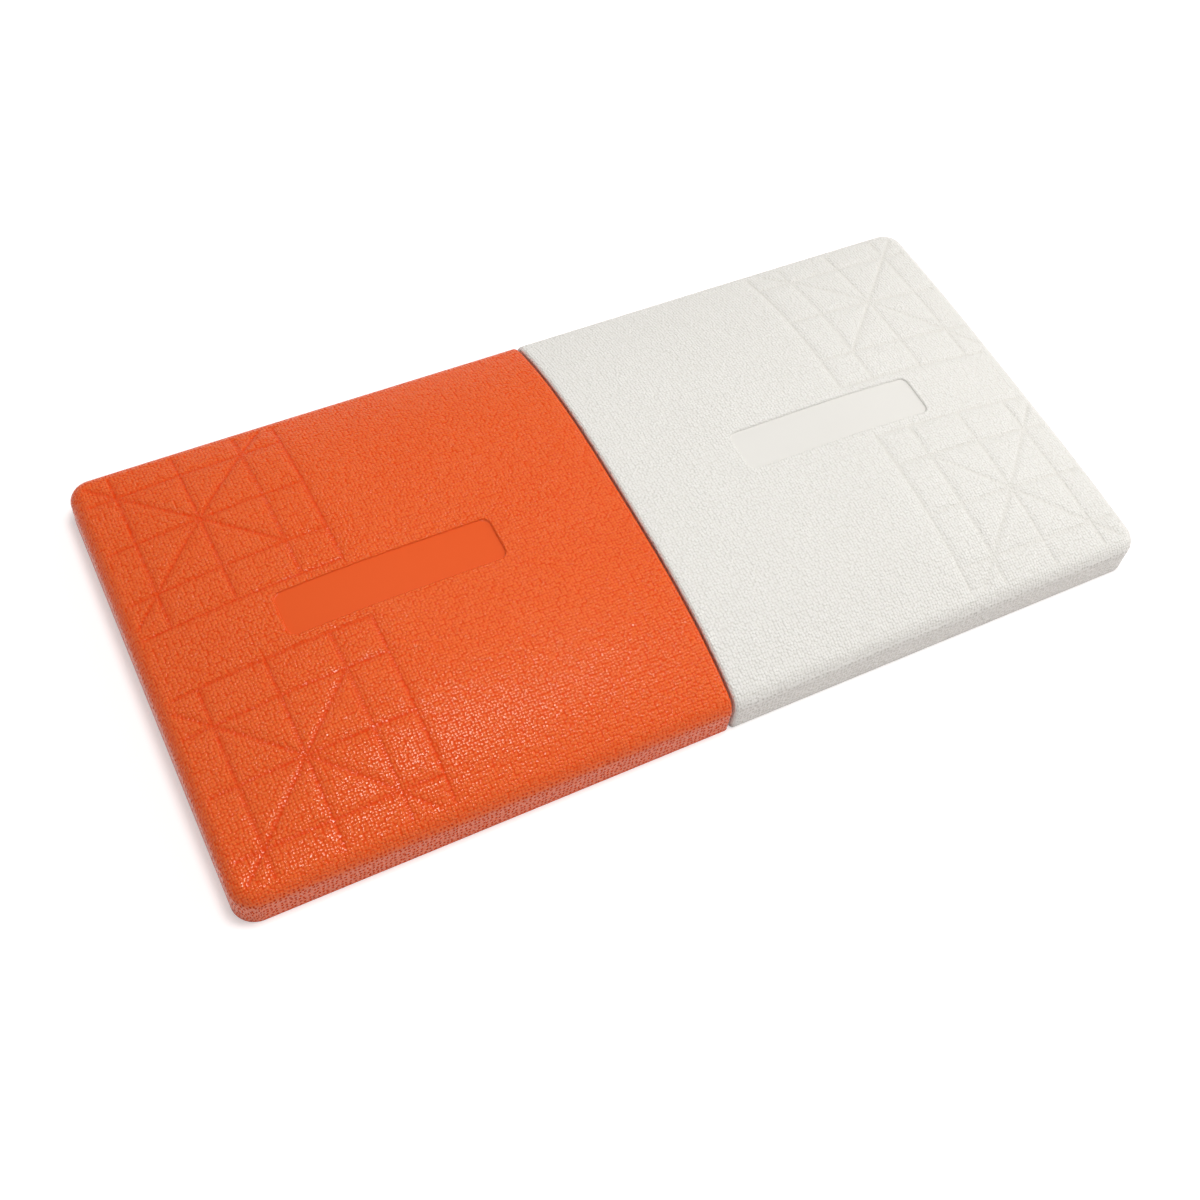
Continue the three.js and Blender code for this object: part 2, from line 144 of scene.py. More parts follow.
def amount(label, about, value, unit="NONE"):
    return FloatProperty(name=label, description=about, default=value, unit=unit)


def colour(label, about, red, green, blue):
    return FloatVectorProperty(
        name=label, description=about, default=(red, green, blue), subtype="COLOR", min=0, max=1
    )


def angle(label, about, degrees):
    return FloatProperty(
        name=label, description=about, default=math.radians(degrees), subtype="ANGLE"
    )


class CoverSizes(PropertyGroup):
    """The moulded rubber covers"""

    length: length("Length", "Both halves together, along X", (CAD_HIGH.x - CAD_LOW.x) / MM)
    width: length("Width", "Across the pair, along Y", (CAD_HIGH.y - CAD_LOW.y) / MM)
    seam_gap: length("Seam gap", "Room between the two halves", 2)
    edge_height: length("Edge height", "Top surface along the long edges", 32)
    crown: length("Crown", "Rise of the middle over the long edges", 27)
    crown_power: amount("Crown power", "Fall of the crown across", 3)
    crown_run: length("Crown run", "Stretch in which the crown falls to the outer end", 200)
    end_crown: length("End crown", "Rise of the middle at the outer end", 4.6)
    edge_round: length("Edge round", "Radius between the top and the outer walls", 10)
    corner_radius: length("Corner radius", "Outer corners in plan", 18)
    seam_round: length("Seam round", "Radius around the seam wall", 3)
    wall: length("Wall", "Thickness of the rubber", 6)
    rim: length("Rim", "Width of the foot around the base plate", 12)
    lip_reach: length("Lip reach", "Outer wall to the free edge of the lip", 34)
    lip_bottom: length("Lip bottom", "Height of the lip's underside", 5.8)
    lip_top: length("Lip top", "Height of the lip's upper side", 9.8)


class TreadSizes(PropertyGroup):
    """Lines and panel pressed into the top"""

    side: length("Tread side", "Square filled by the lines of one corner", 163)
    step: length("Tread step", "Lines to either side of the square's middle", 49.5)
    groove_width: length("Groove width", "Width of a line between its shoulders", 3.4)
    # Painted shade along the lines: width of the darker stripe
    line_shade_width: length("Crease width", "Width of the darker stripe along a line", 4.4)
    groove_depth: length("Groove depth", "Depth of a line under the fields' edges", 0.22)
    pillow: length("Pillow", "Swell of the fields between the lines", 0.85)
    pillow_reach: length("Pillow reach", "How far a field slopes away from a line", 8)
    run_out: length("Run out", "Distance from the outer edges at which the lines end", 10)
    panel_length: length("Panel length", "Bare panel, along X", 172)
    panel_width: length("Panel width", "Bare panel, along Y", 39)
    panel_corner: length("Panel corner", "Corner radius of the panel", 7)
    panel_depth: length("Panel depth", "Depth of the panel", 1.3)
    fine_step: length("Fine step", "Mesh spacing at the panel's border", 0.7)
    tread_step: length("Line step", "Mesh spacing among the lines", 1.1)
    plain_step: length("Plain step", "Mesh spacing on the plain top", 4)


class PlateSizes(PropertyGroup):
    """Base plates with their screws and stem nuts"""

    bottom: length("Plate bottom", "Ground to base plate", 2.5)
    thickness: length("Plate thickness", "Base plate", 3)
    margin: length("Plate margin", "Gap between rim and plate", 0.5)
    frame_top: length("Frame top", "Height of the clamp frame's upper side", 12.6)
    screw_radius: length("Screw radius", "Shank of a plate screw", 2.5)
    head_radius: length("Screw head radius", "Head of a plate screw", 5)
    screw_tip: length("Screw tip", "Screw standing out of the clamp frame", 2.5)
    screw_inset: length("Screw inset", "Wall to the screws along it", 22)
    screw_corner: length("Screw corner", "Next wall around the corner to the same screws", 70)
    recess_width: length("Cross recess width", "Arms of the recess in a screw's head", 1.3)
    recess_depth: length("Cross recess depth", "Recess in a screw's head", 1.4)
    stem_spacing: length("Stem bolt spacing", "Square of the four stem bolts", 76.2)
    stem_hole: length("Stem bolt hole", "Radius of the holes for the stem bolts", 5.5)
    seat_side: length("Stem seat side", "Doubler plate behind the base plate", 110)
    seat_top: length("Stem seat top", "Height of the doubler's upper side", 9.8)
    nut_width: length("Stem nut width", "Across flats", 17)
    nut_height: length("Stem nut height", "Along its bore", 8)
    nut_bore: length("Stem nut bore", "Radius", 5)


class PinSizes(PropertyGroup):
    """Joining pins of the white half and their sleeves in the orange half"""

    radius: length("Pin radius", "Shank that enters the sleeve", 5)
    reach: length("Pin reach", "Pin standing out of the seam wall", 30)
    point: length("Pin point", "Chamfer at the pin's end", 2)
    height: length("Pin height", "Axis over the ground", 24)
    spread: length("Pin spread", "Pins to either side of the middle", 80)
    thread_radius: length("Thread radius", "Threaded end of a pin", 4)
    thread_end: length("Thread end", "Seam face to the end of the thread", 18.3)
    collar_radius: length("Collar radius", "Pin's collar and sleeve's barrel", 7)
    collar_depth: length("Collar depth", "Seam face to the clamp frame", 6.7)
    collar_fit: length("Collar fit", "Collar to its hole in the seam wall", 0.5)
    fit: length("Pin fit", "Pin to sleeve", 0.4)
    upstand_back: length("Upstand back", "Back of the clamp frame's upstand, along X", 10.5)
    upstand_reach: length("Upstand reach", "Upstand to either side of the middle", 94)
    upstand_top: length("Upstand top", "Height of the upstand", 38)
    flange_radius: length("Flange radius", "Flange of a sleeve", 10)
    flange: length("Flange", "Thickness of a sleeve's flange", 3)
    sleeve_length: length("Sleeve length", "Seam face to the sleeve's end", 35)


class BaseColours(PropertyGroup):
    """Colours of the finishes"""

    orange: colour("Orange rubber", "Cover of the orange half", 0.85, 0.114, 0.019)
    white: colour("White rubber", "Cover of the white half", 0.83, 0.807, 0.761)
    foam: colour("Foam", "Foam cores", 0.768, 0.694, 0.479)
    galvanised: colour("Galvanised steel", "Plates and frames", 0.397, 0.418, 0.434)
    zinc: colour("Zinc plated steel", "Screws, nuts and pins", 0.584, 0.597, 0.61)
    nylon: colour("Black nylon", "Pin sleeves", 0.019, 0.019, 0.023)
    floor: colour("Floor", "Studio floor", 0.78, 0.74, 0.73)


class StageSettings(PropertyGroup):
    """Camera, lamps, room and floor"""

    azimuth: angle("Azimuth", "Camera round the object", -35.14)
    elevation: angle("Elevation", "Camera over the horizon", 56.22)
    roll: angle("Roll", "Camera about its own axis", 9.99)
    distance: length("Distance", "Camera to the point that it looks at", 1252.72)
    target_x: length("Target X", "Point that the camera looks at, along X", -37.45)
    target_y: length("Target Y", "Point that the camera looks at, along Y", -49.3)
    focal: amount("Focal length", "Lens in millimetres", 48.214)
    overhead_power: amount("Overhead power", "Lamp overhead", 52, "POWER")
    side_power: amount("Side power", "Lamp at +X", 57, "POWER")
    room: amount("Room", "Strength of the room's own light overhead", 0.2)
    floor_lift: amount("Floor lift", "Whitens the floor near the base where it is seen", 0.45)


# Modelling helpers

def clear_selection():
    bpy.ops.object.select_all(action="DESELECT")


def made(name):
    """The object that an operator has just added, under its own name"""
    piece = bpy.context.object
    piece.name = name
    piece.data.name = name
    return piece


def pick(piece):
    clear_selection()
    piece.select_set(True)
    bpy.context.view_layer.objects.active = piece


def settle(piece):
    """Puts the object's place, turn and scale into its mesh"""
    pick(piece)
    bpy.ops.object.transform_apply(location=True, rotation=True, scale=True)
    return piece


@contextmanager
def editing(piece):
    """Edit mode on one piece, with nothing selected"""
    pick(piece)
    bpy.ops.object.mode_set(mode="EDIT")
    bpy.ops.mesh.select_all(action="DESELECT")
    yield bmesh.from_edit_mesh(piece.data)
    bpy.ops.object.mode_set(mode="OBJECT")


def choose(piece, edges, test):
    """Selects the edges of a piece in edit mode that pass a test"""
    for edge in edges:
        if test(edge):
            edge.select_set(True)
    bmesh.update_edit_mesh(piece.data)


def block(name, low, high):
    clear_selection()
    low, high = Vector(low), Vector(high)
    bpy.ops.mesh.primitive_cube_add(size=1, location=(low + high) / 2, scale=high - low)
    return settle(made(name))


def rod(name, radius, foot, top, sides=ROUND_SIDES):
    """Upright cylinder between two points, one over the other"""
    clear_selection()
    foot, top = Vector(foot), Vector(top)
    bpy.ops.mesh.primitive_cylinder_add(
        vertices=sides, radius=radius, depth=(top - foot).length, location=(foot + top) / 2
    )
    return settle(made(name))


def turned(name, profile):
    """Solid turned about Z from [radius, height] pairs, bottom to top"""
    clear_selection()
    radius, height = profile[0]
    bpy.ops.mesh.primitive_circle_add(
        vertices=ROUND_SIDES, radius=radius, fill_type="NGON", location=(0, 0, height)
    )
    piece = settle(made(name))
    with editing(piece):
        bpy.ops.mesh.select_all(action="SELECT")
        for next_radius, next_height in profile[1:]:
            rise = (0, 0, next_height - height)
            bpy.ops.mesh.extrude_region_move(TRANSFORM_OT_translate={"value": rise})
            share = next_radius / radius
            bpy.ops.transform.resize(value=(share, share, 1), center_override=(0, 0, next_height))
            radius, height = next_radius, next_height
        bpy.ops.mesh.select_all(action="SELECT")
        bpy.ops.mesh.normals_make_consistent(inside=False)
    return piece


def apply_modifier(piece, kind, **settings):
    modifier = piece.modifiers.new(kind.title(), kind)
    for setting, value in settings.items():
        setattr(modifier, setting, value)
    pick(piece)
    bpy.ops.object.modifier_apply(modifier=modifier.name)


def combine(piece, tools, operation):
    """Joins the tools to a piece or takes them from it, and uses them up"""
    for tool in tools:
        apply_modifier(piece, "BOOLEAN", object=tool, operation=operation, solver="MANIFOLD")
        remove(tool)


def cut(piece, tools):
    combine(piece, tools, "DIFFERENCE")


def soften(piece, width=EDGE_SOFTENING):
    """Small round on every sharp edge, and smooth shading between them"""
    apply_modifier(piece, "BEVEL", width=width, segments=SOFTENING_SEGMENTS, limit_method="ANGLE")
    return smooth(piece)


def smooth(piece):
    pick(piece)
    bpy.ops.object.shade_smooth_by_angle(angle=SMOOTH_ANGLE)
    return piece


def copy_of(piece, name, placing):
    copy = piece.copy()
    copy.data = piece.data.copy()
    copy.name = name
    copy.data.name = name
    copy.data.transform(placing)
    bpy.context.scene.collection.objects.link(copy)
    return copy


def remove(piece):
    mesh = piece.data
    bpy.data.objects.remove(piece)
    bpy.data.meshes.remove(mesh)


def dress(piece, node, finish, slot):
    """A finished piece takes the place of a node and moves with the node's body"""
    piece.data.materials.clear()
    piece.data.materials.append(finish)
    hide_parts(node)
    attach(piece, frame["nodes"][node]["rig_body"])


def paint(names, finish):
    """A finish for nodes that keep their own shape"""
    for name in names:
        for slot in frame["nodes"][name].material_slots:
            slot.material = finish


# Shader helpers

class Signal:
    """A value in a material, on which arithmetic adds Math nodes"""

    def __init__(self, finish, socket):
        self.finish = finish
        self.socket = socket

    def __add__(self, other):
        return self.finish.math("ADD", self, other)

    def __sub__(self, other):
        return self.finish.math("SUBTRACT", self, other)

    def __rsub__(self, other):
        return self.finish.math("SUBTRACT", other, self)

    def __mul__(self, other):
        return self.finish.math("MULTIPLY", self, other)

    __radd__ = __add__
    __rmul__ = __mul__


# Sockets of a Mix node that take and give colours

FIRST_COLOUR = 6
SECOND_COLOUR = 7
MIXED_COLOUR = 2


class Finish:
    """A node tree under construction"""

    def __init__(self, owner):
        owner.use_nodes = True
        self.owner = owner
        self.tree = owner.node_tree
        self.tree.nodes.clear()

    def node(self, kind, settings, inputs, output=0):
        """Adds a node, sets it up, feeds its sockets and gives one of its outputs"""
        node = self.tree.nodes.new(kind)
        for setting, value in settings.items():
            setattr(node, setting, value)
        for name, value in inputs.items():
            if isinstance(value, Signal):
                self.tree.links.new(value.socket, node.inputs[name])
            else:
                node.inputs[name].default_value = value
        return Signal(self, node.outputs[output]) if node.outputs else None

    def math(self, operation, *values):
        return self.node("ShaderNodeMath", {"operation": operation}, dict(enumerate(values)))

    def ramp(self, value, start, end):
        """Eases from a start to an end, each a place on the value's scale and the level there"""
        eased = self.node("ShaderNodeValToRGB", {}, {"Fac": value})
        ramp = eased.socket.node.color_ramp
        ramp.interpolation = "EASE"
        for stop, (place, level) in zip(ramp.elements, (start, end)):
            stop.position = place
            stop.color = (level, level, level, 1)
        return eased

    def mix(self, share, one, other):
        """Colour between two colours"""
        return self.node(
            "ShaderNodeMix",
            {"data_type": "RGBA", "clamp_factor": True},
            {"Factor": share, FIRST_COLOUR: one, SECOND_COLOUR: other},
            MIXED_COLOUR,
        )

    def place(self):
        return self.node("ShaderNodeTexCoord", {}, {}, "Object")

    def stretched(self, vector, scale):
        return self.node("ShaderNodeMapping", {}, {"Vector": vector, "Scale": scale})

    def noise(self, vector, per_metre, detail=2.0, roughness=0.5):
        return self.node(
            "ShaderNodeTexNoise",
            {},
            {"Vector": vector, "Scale": per_metre, "Detail": detail, "Roughness": roughness},
            "Fac",
        )

    def cells(self, vector, per_metre, output):
        return self.node("ShaderNodeTexVoronoi", {}, {"Vector": vector, "Scale": per_metre}, output)

    def axis(self, vector, name):
        return self.node("ShaderNodeSeparateXYZ", {}, {"Vector": vector}, name)

    def bump(self, height, depth):
        return self.node("ShaderNodeBump", {}, {"Height": height, "Distance": depth, "Strength": 1.0})

    def attribute(self, name):
        return self.node("ShaderNodeAttribute", {"attribute_name": name}, {}, "Fac")

    def dots(self, vector, pitch, output):
        """A lattice of dots, somewhat out of line: distance in pitches, or each dot's own colour"""
        along, across = pitch
        lattice = self.stretched(vector, (1 / along, 1 / across, 1))
        return self.node(
            "ShaderNodeTexVoronoi",
            {"voronoi_dimensions": "2D"},
            {"Vector": lattice, "Scale": 1.0, "Randomness": DOT_JITTER},
            output,
        )

    def principled(self, **inputs):
        named = {}
        for key, value in inputs.items():
            named[key.replace("_", " ").title().replace("Ior", "IOR")] = value
        return self.node("ShaderNodeBsdfPrincipled", {}, named)

    def end(self, shader):
        self.node("ShaderNodeOutputMaterial", {}, {"Surface": shader})
        return self.owner

    def surface(self, **inputs):
        """Ends a material in one Principled shader"""
        return self.end(self.principled(**inputs))


def new_finish(name):
    return Finish(bpy.data.materials.new(name))


def opaque(rgb, brightness=1.0):
    return (*(min(1.0, channel * brightness) for channel in rgb), 1.0)


def painted_bounce(rgb, bounces):
    """Colour with painted shade where light meets the surface more than once, as in a hollow, or painted
    light where it meets it less, as on a top
    """
    return tuple(channel ** bounces for channel in rgb)


# Finishes, in which domes and pits fall off between two shares of their pitch, each with its height

CANVAS_PITCH = (2.4 * MM, 2.25 * MM)
CANVAS_DOME = ((0.2, 1.0), (0.75, 0.0))
PIT_PITCH = (3.3 * MM, 4.2 * MM)
PIT_BOWL = ((0.17, 1.0), (0.33, 0.0))
PIT_DEPTH = 1.5
DOT_JITTER = 0.5
GRAIN_RELIEF = 0.38 * MM
# Powers of the colour for painted shade in the hollows, painted light on the tops and painted shade along
# the tread lines, and the share of that line shade
PAINTED_HOLLOW_SHADE = 1.24
PAINTED_TOP_LIGHT = 0.89
PAINTED_LINE_SHADE = 1.35
LINE_SHADE_SHARE = 0.7
RUBBER_IOR = 1.34
BARE_ROUGHNESS = 0.3
HOLLOW_ROUGHNESS = 0.8
HOLLOW_SHARE = 0.9


def canvas_rubber(name, rgb):
    """Moulded rubber with a canvas grain of small domes on top, pits on the walls and a bare panel"""
    look = new_finish(name)
    place = look.place()
    surface = look.node("ShaderNodeUVMap", {"uv_map": SURFACE_MAP}, {})
    grainy = 1 - look.attribute(BARE_MASK)
    wall = look.attribute(WALL_MASK)

    # Height of the grain: uneven domes on top, and pits in the walls
    patchy = look.noise(place, 150, detail=3, roughness=0.6)
    mottle = look.noise(place, 14, detail=4, roughness=0.6)
    knot = look.ramp(look.dots(surface, CANVAS_PITCH, "Distance"), *CANVAS_DOME)
    chance = look.axis(look.dots(surface, CANVAS_PITCH, "Color"), "X")
    dome = knot * (chance * 0.5 + patchy * 0.6 + 0.4)
    pit = look.ramp(look.dots(surface, PIT_PITCH, "Distance"), *PIT_BOWL)
    grain = dome + (1 - pit * PIT_DEPTH - dome) * wall

    # Colour: a random mottle, with painted shade between the domes, in the pits and along the tread lines,
    # and painted light on the domes' tops
    tone = look.ramp(grain * 0.8 + mottle * 0.2, (0.0, 0.0), (1.0, 1.0))
    shade = 0.5 + (tone - 0.5) * grainy
    # Lit and shaded copies of the colour: painted shade in the hollows, painted light on the tops
    low = opaque(painted_bounce(rgb, PAINTED_HOLLOW_SHADE), brightness=0.95)
    high = opaque(painted_bounce(rgb, PAINTED_TOP_LIGHT), brightness=1.02)
    # Painted shade along the tread lines
    line_shade = look.attribute(LINE_SHADE_MASK) * LINE_SHADE_SHARE
    colour_now = look.mix(line_shade, look.mix(shade, low, high), opaque(painted_bounce(rgb, PAINTED_LINE_SHADE)))

    # Gloss: the domes shine towards their tops, and the hollows between them and the pits stay dull
    gloss = BARE_ROUGHNESS + (patchy * 0.06 + 0.1 - knot * 0.31) * grainy
    relief = look.bump((grain + patchy * 1.5) * grainy + mottle * 0.3, GRAIN_RELIEF)
    land = look.principled(base_color=colour_now, roughness=gloss, ior=RUBBER_IOR, normal=relief)
    hollow = look.principled(
        base_color=colour_now, roughness=HOLLOW_ROUGHNESS, specular_ior_level=0.0, normal=relief
    )
    sunken = pit * wall + (1 - knot) * (1 - wall) * grainy * HOLLOW_SHARE
    return look.end(look.node("ShaderNodeMixShader", {}, {0: sunken, 1: land, 2: hollow}))


def open_foam(name, rgb):
    """Open-cell foam with small pores"""
    look = new_finish(name)
    place = look.place()
    pores = look.cells(place, 450, "Distance")
    tone = look.noise(place, 30, detail=3)
    shade = look.mix(pores * 0.8 + tone * 0.3, opaque(rgb, 0.6), opaque(rgb, 1.1))
    relief = look.bump(pores, 0.5 * MM)
    return look.surface(base_color=shade, roughness=0.95, normal=relief)


def galvanised_steel(name, rgb):
    """Hot-dip zinc with its crystal spangle"""
    look = new_finish(name)
    place = look.place()
    spangle = look.axis(look.cells(place, 90, "Color"), "X")
    haze = look.noise(place, 25, detail=4, roughness=0.6)
    shade = look.mix(spangle * 0.7 + haze * 0.3, opaque(rgb, 0.78), opaque(rgb, 1.25))
    rough = 0.36 + spangle * 0.16 + haze * 0.1
    relief = look.bump(look.noise(place, 700), 0.02 * MM)
    return look.surface(base_color=shade, metallic=1.0, roughness=rough, normal=relief)


def zinc_plated(name, rgb):
    """Bright zinc plating with fine scratches"""
    look = new_finish(name)
    place = look.place()
    scratches = look.noise(look.stretched(place, (1, 12, 12)), 300, detail=3, roughness=0.6)
    haze = look.noise(place, 120, detail=3)
    shade = look.mix(haze, opaque(rgb, 0.8), opaque(rgb, 1.2))
    rough = 0.2 + scratches * 0.22
    relief = look.bump(scratches, 0.015 * MM)
    return look.surface(base_color=shade, metallic=1.0, roughness=rough, normal=relief)


def black_nylon(name, rgb):
    """Moulded nylon with a fine matt grain"""
    look = new_finish(name)
    place = look.place()
    grain = look.noise(place, 1500)
    haze = look.noise(place, 90, detail=3)
    shade = look.mix(haze, opaque(rgb, 0.7), opaque(rgb, 1.8))
    relief = look.bump(grain, 0.04 * MM)
    return look.surface(base_color=shade, roughness=0.42 + grain * 0.2, normal=relief)


def finish_named(name, maker, rgb):
    """One material for each finish, made when it is first asked for"""
    return bpy.data.materials.get(name) or maker(name, tuple(rgb))


def plated(scene):
    return finish_named("plated_fastener", zinc_plated, scene.base_colours.zinc)


# The crowned form

def seam_face(cover):
    return cover.seam_gap / 2


def half_middle(cover):
    return (seam_face(cover) + cover.length / 2) / 2


def crown(cover, x, y):
    """Height of the plain top over the plan"""
    across = 1 - np.abs(y / (cover.width / 2)) ** cover.crown_power
    run = np.clip((x - (cover.length / 2 - cover.crown_run)) / cover.crown_run, 0, None)
    return cover.edge_height + across * (cover.crown - (cover.crown - cover.end_crown) * run ** 2)


def outer_distance(cover, x, y):
    """Distance of a point of the plan from the outer edges, which turn the corners on an arc"""
    end = cover.length / 2 - x
    side = cover.width / 2 - np.abs(y)
    radius = cover.corner_radius
    corner = radius - np.hypot(np.minimum(end, radius) - radius, np.minimum(side, radius) - radius)
    in_corner = (end < radius) & (side < radius)
    return np.where(in_corner, corner, np.minimum(end, side))


def ease(value):
    """Smooth step from 0 to 1"""
    share = np.clip(value, 0, 1)
    return share * share * (3 - 2 * share)


def tread_distance(cover, tread, x, y):
    """Distance to the nearest tread line"""
    end = cover.length / 2 - x
    side = cover.width / 2 - np.abs(y)
    middle = tread.side / 2
    past_end = np.clip(end - tread.side, 0, None)
    past_side = np.clip(side - tread.side, 0, None)
    past_star = np.clip(np.maximum(end, side) - (middle + tread.step), 0, None)
    nearest = np.hypot(np.abs(end - side) / math.sqrt(2), past_star)
    across = np.hypot(np.abs(end + side - tread.side) / math.sqrt(2), np.hypot(past_end, past_side))
    nearest = np.minimum(nearest, across)
    for line in (middle - tread.step, middle, middle + tread.step, tread.side):
        nearest = np.minimum(nearest, np.hypot(end - line, past_side))
        nearest = np.minimum(nearest, np.hypot(side - line, past_end))
    return nearest


def panel_share(cover, tread, x, y):
    """1 on the panel's floor, 0 outside the panel, and between them on its walls"""
    beyond_x = np.abs(x - half_middle(cover)) - (tread.panel_length / 2 - tread.panel_corner)
    beyond_y = np.abs(y) - (tread.panel_width / 2 - tread.panel_corner)
    corner = np.hypot(np.clip(beyond_x, 0, None), np.clip(beyond_y, 0, None))
    outside = corner + np.minimum(np.maximum(beyond_x, beyond_y), 0) - tread.panel_corner
    return ease(0.5 - outside / tread.fine_step)


def near_line(cover, tread, x, y, reach):
    """1 on a tread line, 0 at some reach from it, and fading out at the outer edges"""
    fade = ease(outer_distance(cover, x, y) / tread.run_out - 0.5)
    return fade * np.clip(1 - tread_distance(cover, tread, x, y) / reach, 0, 1)


def pressed_depth(cover, tread, x, y):
    """How deep the tread lines and the panel are pressed into the top"""
    line = tread.groove_depth * near_line(cover, tread, x, y, tread.groove_width / 2)
    swell = tread.pillow * near_line(cover, tread, x, y, tread.pillow_reach) ** 2
    return line + swell + tread.panel_depth * panel_share(cover, tread, x, y)


def spaced(stops):
    """Places from the first stop to the last, each stretch cut into steps of about its own length"""
    places = [stops[0][0]]
    for (low, step), (high, _) in zip(stops, stops[1:]):
        count = max(1, math.ceil((high - low) / step))
        places.extend(np.linspace(low, high, count + 1)[1:])
    return np.array(places)


def mirrored(places):
    return np.concatenate([-places[:0:-1], places])


def fine_lines(cover, tread):
    """Mesh lines along and across the top, close together at the tread and the panel's border"""
    middle = half_middle(cover)
    half_panel = tread.panel_length / 2
    border = tread.panel_corner + tread.fine_step
    margin = 2 * tread.fine_step
    along = spaced([
        (seam_face(cover) + cover.seam_round, tread.plain_step),
        (middle - half_panel - margin, tread.fine_step),
        (middle - half_panel + border, tread.plain_step),
        (cover.length / 2 - tread.side - tread.groove_width, tread.tread_step),
        (middle + half_panel - border, tread.fine_step),
        (middle + half_panel + margin, tread.tread_step),
        (cover.length / 2 - cover.corner_radius, None),
    ])
    across = spaced([
        (0, tread.plain_step),
        (tread.panel_width / 2 - border, tread.fine_step),
        (tread.panel_width / 2 + margin, tread.tread_step),
        (cover.width / 2 - cover.corner_radius, None),
    ])
    return along, mirrored(across)


def coarse_lines(cover, depth, step):
    along = spaced([
        (seam_face(cover) + depth + cover.seam_round, step),
        (cover.length / 2 - cover.corner_radius, None),
    ])
    across = spaced([(0, step), (cover.width / 2 - cover.corner_radius, None)])
    return along, mirrored(across)


def skin(cover, depth, floor, lines, mesh_rows, pressed=None):
    """Points of a half's top, rounded edges and walls, a given depth inside its outer surface.

    The plan is a core rectangle with the edges laid round it as a band. In the corners of the band its
    lines turn round the core's corner. At the seam the section ends in a small round of its own.
    """
    along, across = lines
    shoulder_steps, round_steps, wall_steps = mesh_rows
    radius = cover.edge_round - depth
    reach = cover.corner_radius - depth
    shoulder = np.linspace(0, reach - radius, shoulder_steps + 1)[:-1]
    turn = np.linspace(0, math.pi / 2, round_steps + 1)
    out = np.concatenate([shoulder, reach - radius + radius * np.sin(turn), np.full(wall_steps, reach)])
    drop = np.concatenate([0 * shoulder, radius * (1 - np.cos(turn)), np.full(wall_steps, radius)])
    share = np.concatenate([np.ones(len(shoulder) + len(turn)), np.linspace(1, 0, wall_steps + 1)[1:]])

    band = np.arange(1, len(out))
    core_end = cover.length / 2 - cover.corner_radius
    core_side = cover.width / 2 - cover.corner_radius
    end_line = np.concatenate([np.zeros(len(along), int), band])
    side_line = np.concatenate([band[::-1], np.zeros(len(across), int), band])
    core_x = np.concatenate([along, np.full(len(band), core_end)])
    core_y = np.concatenate([np.full(len(band), -core_side), across, np.full(len(band), core_side)])
    end_line, side_line = np.meshgrid(end_line, side_line, indexing="ij")
    core_x, core_y = np.meshgrid(core_x, core_y, indexing="ij")

    line = np.maximum(end_line, side_line)
    towards_side = np.where(
        end_line >= side_line,
        side_line / np.maximum(end_line, 1),
        2 - end_line / np.maximum(side_line, 1),
    )
    bearing = towards_side * math.pi / 4
    x = core_x + out[line] * np.cos(bearing)
    y = core_y + np.sign(core_y) * out[line] * np.sin(bearing)
    top = crown(cover, x, y) - depth
    z = floor + share[line] * (top - drop[line] - floor)
    if pressed:
        z = z - pressed(x, y)
    points = np.stack([x, y, z], axis=-1)

    section = points[0, :, 1:]
    tangent = np.gradient(section, axis=0)
    tangent /= np.linalg.norm(tangent, axis=1, keepdims=True)
    outward = np.stack([-tangent[:, 1], tangent[:, 0]], axis=-1)
    rows = []
    for angle_now in np.linspace(math.pi / 2, 0, round_steps // 2 + 1)[:-1]:
        row = points[0].copy()
        row[:, 0] -= cover.seam_round * math.sin(angle_now)
        row[:, 1:] -= cover.seam_round * (1 - math.cos(angle_now)) * outward
        row[[0, -1], 2] = floor
        rows.append(row)
    return np.concatenate([np.array(rows), points])


def domed(name, points):
    """Closed solid under a skin: a grid laid on its points, with a seam wall and a floor"""
    rows, columns = points.shape[:2]
    clear_selection()
    bpy.ops.mesh.primitive_grid_add(x_subdivisions=rows - 1, y_subdivisions=columns - 1, size=2)
    piece = settle(made(name))
    mesh = piece.data
    flat = np.empty(len(mesh.vertices) * 3)
    mesh.vertices.foreach_get("co", flat)
    flat = (flat.reshape(-1, 3) + 1) / 2
    row = np.rint(flat[:, 0] * (rows - 1)).astype(int)
    column = np.rint(flat[:, 1] * (columns - 1)).astype(int)
    mesh.vertices.foreach_set("co", points[row, column].ravel())
    mesh.update()
    seam = points[0, 0, 0] + SAME_PLACE
    with editing(piece) as bm:
        choose(piece, bm.edges, lambda e: e.is_boundary and all(v.co.x < seam for v in e.verts))
        bpy.ops.mesh.edge_face_add()
    with editing(piece) as bm:
        choose(piece, bm.edges, lambda e: e.is_boundary)
        bpy.ops.mesh.edge_face_add()
        bpy.ops.mesh.select_all(action="SELECT")
        bpy.ops.mesh.normals_make_consistent(inside=False)
    return piece


def slab(name, cover, inset, bottom, top):
    """Flat plate with a half's outline, drawn in all round"""
    low = (seam_face(cover) + inset, inset - cover.width / 2, bottom)
    high = (cover.length / 2 - inset, cover.width / 2 - inset, top)
    piece = block(name, low, high)
    outer = max(cover.corner_radius - inset, cover.seam_round)
    for at_outer_end, radius in ((True, outer), (False, cover.seam_round)):
        with editing(piece) as bm:
            choose(piece, bm.edges, lambda e: is_corner(e, half_middle(cover), at_outer_end))
            bpy.ops.mesh.bevel(
                offset=radius, offset_type="OFFSET", segments=CORNER_SEGMENTS, affect="EDGES"
            )
    return piece


